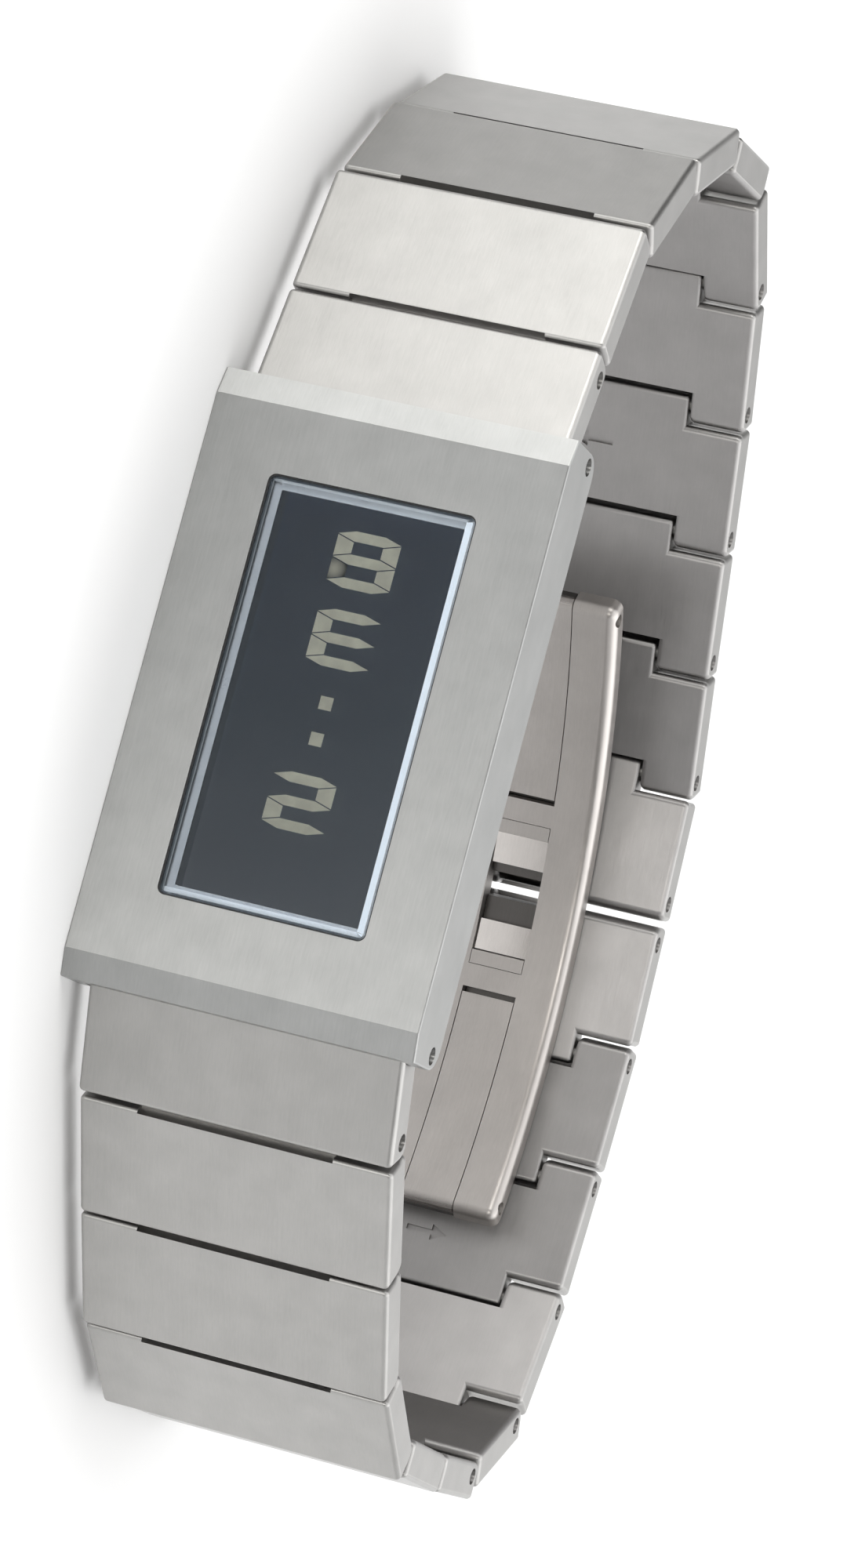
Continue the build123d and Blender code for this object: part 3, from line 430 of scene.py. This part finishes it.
# Bracelet pins: plain lengths of drawn steel rod. Every second link holds two of them, pressed in
# until their ends lie a little below its side faces. The clasp's hinges have the same rod.
pin_steel = speckled(
    "pin_steel",
    light=(0.42, 0.41, 0.4),
    dark=(0.25, 0.25, 0.25),
    grain=0.15 * MM,
    roughness=0.4,
    metal=1.0,
)
for half in ("upper", "lower"):
    for number in range(1, links_a_side + 1, 2):
        dress(pin_steel, f"{half}_pins_{number:02d}")
dress(pin_steel, "frame_pins")

# Folding clasp: a curved steel frame with a rounded polished rim, two blades that lie flush in it
# and two catch pieces across its window. All are pressed or milled from the same warm grey steel.
warm_grey = (0.52, 0.495, 0.475)
clasp_steel = steel(
    "clasp_steel",
    outer=warm_grey,
    inner_with_painted_light=warm_grey,
    along=3 * MM,
    across=0.12 * MM,
    roughness=0.42,
    relief=0.08,
    contrast=0.09,
)
dress(clasp_steel, "clasp_frame", "upper_catch", "lower_catch")
# The blades' pads are polished and a little lighter, and their recesses are darkened with painted
# shade, both by the distance from the centre of the clasp's curve
clasp_centre_x = 11.887 * MM
clasp_centre_y = 11.566 * MM
blade_inside = 38.4 * MM
blade_outside = 39.4 * MM
blade_tone_and_painted_shade = ((0.0, 1.0), (0.2, 1.0), (0.35, 1.25), (0.6, 1.25), (0.85, 0.25))
blade_roughness = ((0.0, 0.42), (0.2, 0.42), (0.35, 0.12), (0.6, 0.12), (0.85, 0.35))
blade_steel = clasp_steel.copy()
blade_steel.name = "blade_steel"
blade_tree = blade_steel.node_tree
blade_shader = blade_tree.nodes["Principled BSDF"]
blade_place = blade_tree.nodes.new("ShaderNodeTexCoord")
blade_reach = blade_tree.nodes.new("ShaderNodeMapping")
blade_reach.inputs["Location"].default_value = (-clasp_centre_x, -clasp_centre_y, 0)
blade_reach.inputs["Scale"].default_value = (1, 1, 0)
blade_tree.links.new(blade_place.outputs["Object"], blade_reach.inputs["Vector"])
blade_depth = blade_tree.nodes.new("ShaderNodeVectorMath")
blade_depth.operation = "LENGTH"
blade_tree.links.new(blade_reach.outputs["Vector"], blade_depth.inputs[0])
blade_scale = finish_node(
    blade_tree, "ShaderNodeMapRange", From_Min=blade_inside, From_Max=blade_outside
)
blade_tree.links.new(blade_depth.outputs["Value"], blade_scale.inputs["Value"])
for stops, socket in ((blade_tone_and_painted_shade, "Base Color"), (blade_roughness, "Roughness")):
    blade_ramp = blade_tree.nodes.new("ShaderNodeFloatCurve")
    curve = blade_ramp.mapping.curves[0]
    curve.points[0].location = stops[0]
    curve.points[1].location = (1.0, stops[-1][1])
    for stop in stops[1:]:
        curve.points.new(*stop)
    for point in curve.points:
        point.handle_type = "VECTOR"
    blade_ramp.mapping.extend = "HORIZONTAL"
    blade_ramp.mapping.use_clip = False
    blade_ramp.mapping.update()
    blade_tree.links.new(blade_scale.outputs["Result"], blade_ramp.inputs["Value"])
    if socket == "Base Color":
        # Painted shade: the base colour is multiplied down to a quarter in the blades' recesses
        blade_shade = blade_tree.nodes.new("ShaderNodeVectorMath")
        blade_shade.operation = "SCALE"
        blade_tree.links.new(blade_shader.inputs[socket].links[0].from_socket, blade_shade.inputs[0])
        blade_tree.links.new(blade_ramp.outputs["Value"], blade_shade.inputs["Scale"])
        blade_tree.links.new(blade_shade.outputs["Vector"], blade_shader.inputs[socket])
    else:
        blade_tree.links.new(blade_ramp.outputs["Value"], blade_shader.inputs[socket])
dress(blade_steel, "upper_blade", "lower_blade")

# Floor: a plain pale sheet of studio paper, far larger than the view. The watch lies on it on the
# side of its case.
floor_half_width = 4000 * MM
floor_mesh = bmesh.new()
bmesh.ops.create_grid(floor_mesh, x_segments=1, y_segments=1, size=floor_half_width)
floor_data = bpy.data.meshes.new("floor")
floor_mesh.to_mesh(floor_data)
floor_mesh.free()
floor = bpy.data.objects.new("floor", floor_data)
bpy.context.collection.objects.link(floor)
floor_white = speckled(
    "floor_white",
    light=(0.93, 0.93, 0.93),
    dark=(0.91, 0.91, 0.91),
    grain=60 * MM,
    roughness=0.9,
    relief=0.0,
)
floor_data.materials.append(floor_white)

# Light: a broad box straight above and two small ones in front, one of them to the left near the
# watch's upper end. The room round them is bright behind the watch and dark before it.


def soft_box(name, place, aim, size, power, colour=(1, 1, 1)):
    data = bpy.data.lights.new(name, "AREA")
    data.shape = "SQUARE"
    data.size = size
    data.energy = power
    data.color = colour
    lamp = bpy.data.objects.new(name, data)
    lamp.location = place
    lamp.rotation_euler = (Vector(aim) - Vector(place)).to_track_quat("-Z", "Y").to_euler()
    lamp.visible_camera = False
    bpy.context.collection.objects.link(lamp)


case_middle = (0, 0, 0.011)
upper_links = (-0.02, 0.01, 0.011)
soft_box("over_box", place=(0, 0, 0.9), aim=(0, 0, 0), size=1.6, power=11.5)
soft_box(
    "front_box",
    place=(-0.42, -0.42, 0.1),
    aim=upper_links,
    size=0.3,
    power=1.7,
    colour=(1, 0.99, 0.96),
)
soft_box(
    "low_box",
    place=(0.11, -0.59, 0.13),
    aim=case_middle,
    size=0.12,
    power=1.0,
    colour=(1, 0.98, 0.94),
)
world = bpy.data.worlds.new("studio")
bpy.context.scene.world = world
world.use_nodes = True
sky = world.node_tree
sky_place = sky.nodes.new("ShaderNodeTexCoord")
sky_axes = sky.nodes.new("ShaderNodeSeparateXYZ")
sky.links.new(sky_place.outputs["Generated"], sky_axes.inputs["Vector"])
sky_front = sky.nodes.new("ShaderNodeMath")
sky_front.operation = "MULTIPLY"
sky_front.inputs[1].default_value = -1.0
sky.links.new(sky_axes.outputs["Y"], sky_front.inputs[0])
sky_turn = sky.nodes.new("ShaderNodeMath")
sky_turn.operation = "ARCTAN2"
sky.links.new(sky_axes.outputs["X"], sky_turn.inputs[0])
sky.links.new(sky_front.outputs["Value"], sky_turn.inputs[1])
sky_fade = finish_node(sky, "ShaderNodeMapRange", From_Min=-math.pi, From_Max=math.pi)
sky.links.new(sky_turn.outputs["Value"], sky_fade.inputs["Value"])
sky_tint = sky.nodes.new("ShaderNodeValToRGB")
# Degrees round the watch, counted from straight in front of it, and how bright the room is there
sky_stops = (
    (-180, 1.0), (-125, 0.14), (-95, 0.02), (-62, 0.14), (-42, 0.2), (-22, 0.0),
    (48, 0.0), (65, 0.6), (85, 0.7), (105, 0.45), (135, 0.8), (180, 1.0),
)
for index, (angle, grey) in enumerate(sky_stops):
    if 0 < index < len(sky_stops) - 1:
        stop = sky_tint.color_ramp.elements.new((angle + 180) / 360)
    else:
        stop = sky_tint.color_ramp.elements[0 if index == 0 else -1]
    stop.color = (grey, grey, grey, 1)
sky.links.new(sky_fade.outputs["Result"], sky_tint.inputs["Fac"])
sky.links.new(sky_tint.outputs["Color"], sky.nodes["Background"].inputs["Color"])
sky.nodes["Background"].inputs["Strength"].default_value = 1.35
bpy.context.scene.view_settings.view_transform = "Standard"

# Camera: a long lens in front of the display and a little above it, rolled so that the watch's
# upper end is at the top of the picture.
camera_data = bpy.data.cameras.new("camera")
camera_data.sensor_width = 36
camera_data.lens = 119.96
camera_data.clip_start = 0.01
camera = bpy.data.objects.new("camera", camera_data)
camera_place = Vector((35.874, -290.964, 105.348)) * MM
to_right = Vector((-0.25665, 0.25125, 0.93327))
to_top = Vector((-0.96038, -0.17484, -0.21704))
to_back = Vector((0.10864, -0.95200, 0.28617))
turned = Matrix((to_right, to_top, to_back)).transposed().to_4x4()
camera.matrix_world = Matrix.Translation(camera_place) @ turned
bpy.context.collection.objects.link(camera)
bpy.context.scene.camera = camera
